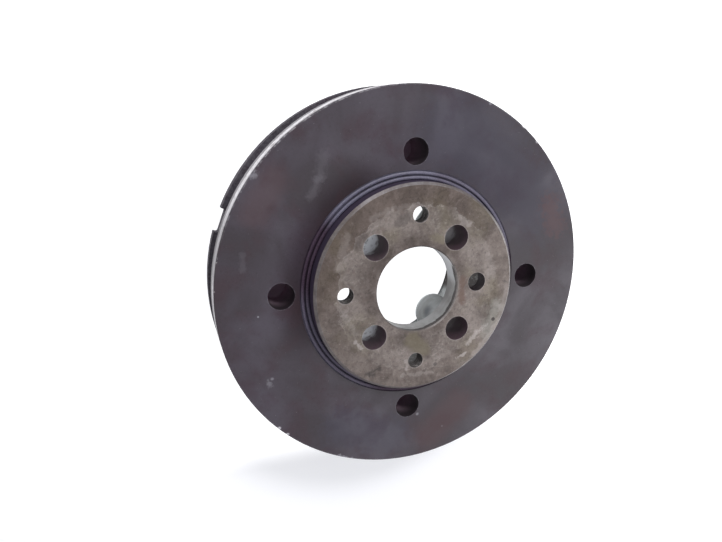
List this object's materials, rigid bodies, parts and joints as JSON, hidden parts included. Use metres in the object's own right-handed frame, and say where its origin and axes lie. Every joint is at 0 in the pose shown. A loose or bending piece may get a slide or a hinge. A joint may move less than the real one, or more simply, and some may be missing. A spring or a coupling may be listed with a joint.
{
  "type": "harmonic balancer",
  "caption": "Crankshaft harmonic balancer: a bolted hub with a bonded elastomer ring and a grooved outer inertia ring with a timing notch.",
  "frame": {"origin": "centre of the circle that the hub's rear end stands on", "axes": "+Z along the hub's axis towards the bolting face; the four face holes of the inertia ring lie on +X, +Y, -X and -Y, and the offset locating hole is beside +X"},
  "size_m": [0.165, 0.165, 0.0433],
  "materials": {
    "hub": "machined cast steel face, dulled and stained with light rust and old oil",
    "elastomer_ring": "black moulded elastomer with a dull sheen",
    "inertia_ring": "dark phosphate-like coating, satin, worn bright on the front edge of the rim"
  },
  "bodies": {
    "root": {"hub": "hub", "elastomer_ring": "elastomer_ring", "inertia_ring": "inertia_ring"}
  },
  "joints": []
}
